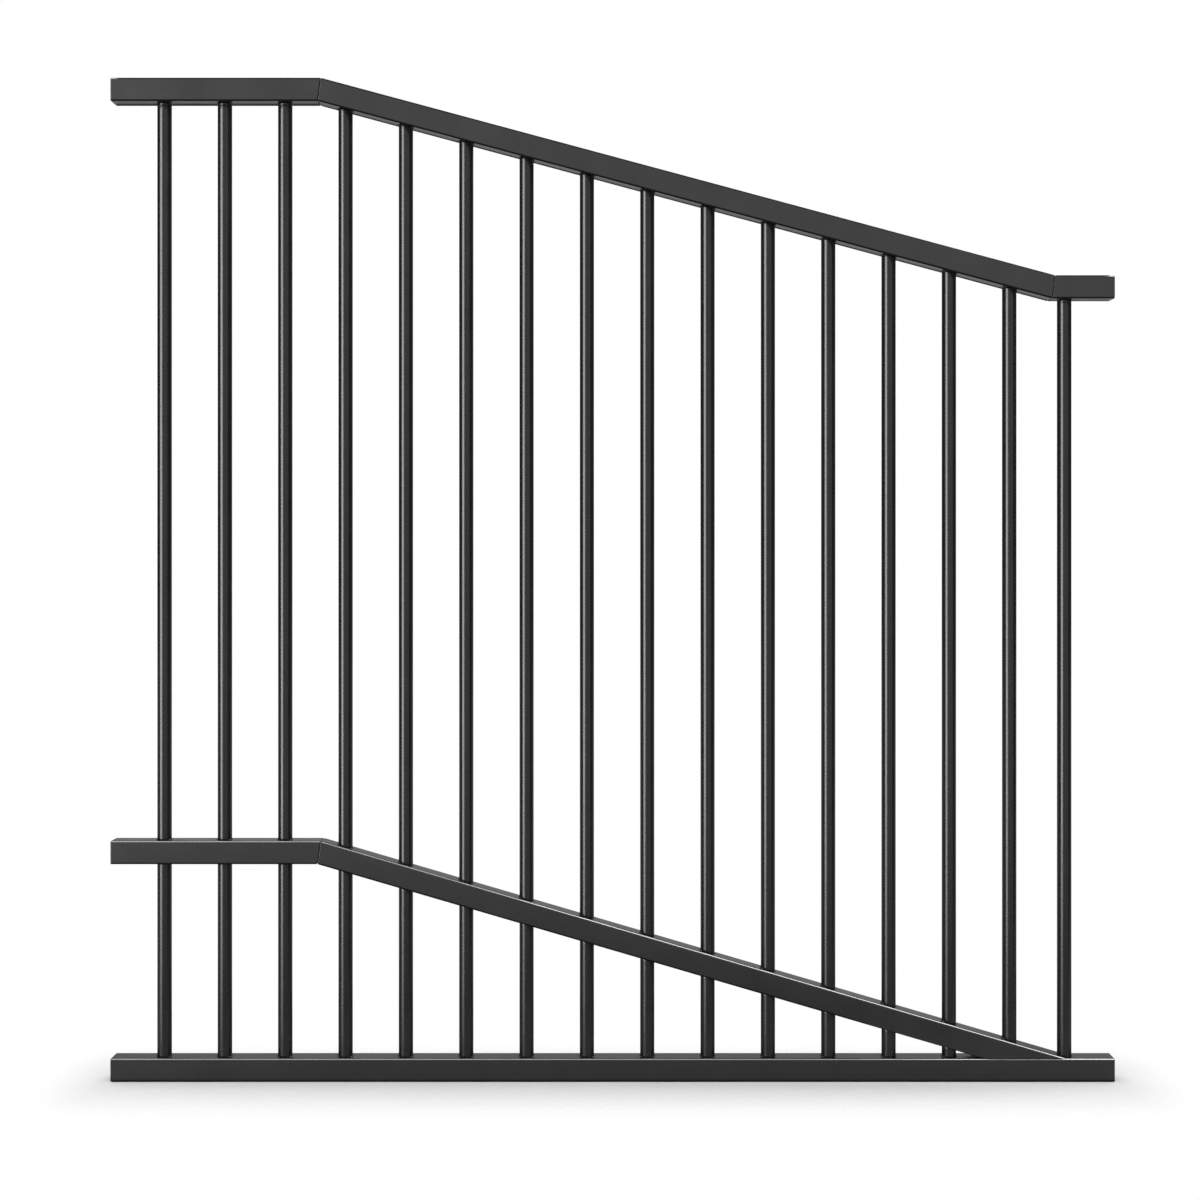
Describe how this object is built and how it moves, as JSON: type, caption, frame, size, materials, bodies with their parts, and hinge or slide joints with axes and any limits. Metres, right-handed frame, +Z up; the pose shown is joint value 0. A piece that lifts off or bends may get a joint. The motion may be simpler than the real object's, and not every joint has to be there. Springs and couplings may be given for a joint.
{
  "type": "raked pool fence panel",
  "caption": "Raked pool fence panel: square tube rails that step down a slope, with round tube pickets run through them, welded and powder coated black.",
  "frame": {"origin": "foot of the bottom rail's end face at the tall end, halfway through the rail's depth", "axes": "+X along the panel from the tall end to the low end, +Y through the panel away from the side in the picture, +Z up"},
  "size_m": [1.5, 0.035, 1.5],
  "materials": {
    "black_powder_coat": "satin black powder coat on aluminium tube"
  },
  "bodies": {
    "root": {"bottom_rail": "black_powder_coat", "middle_rail_level": "black_powder_coat", "middle_rail_raked": "black_powder_coat", "top_rail_tall_end": "black_powder_coat", "top_rail_raked": "black_powder_coat", "top_rail_low_end": "black_powder_coat", "picket_01": "black_powder_coat", "picket_02": "black_powder_coat", "picket_03": "black_powder_coat", "picket_04": "black_powder_coat", "picket_05": "black_powder_coat", "picket_06": "black_powder_coat", "picket_07": "black_powder_coat", "picket_08": "black_powder_coat", "picket_09": "black_powder_coat", "picket_10": "black_powder_coat", "picket_11": "black_powder_coat", "picket_12": "black_powder_coat", "picket_13": "black_powder_coat", "picket_14": "black_powder_coat", "picket_15": "black_powder_coat", "picket_16": "black_powder_coat"}
  },
  "joints": []
}
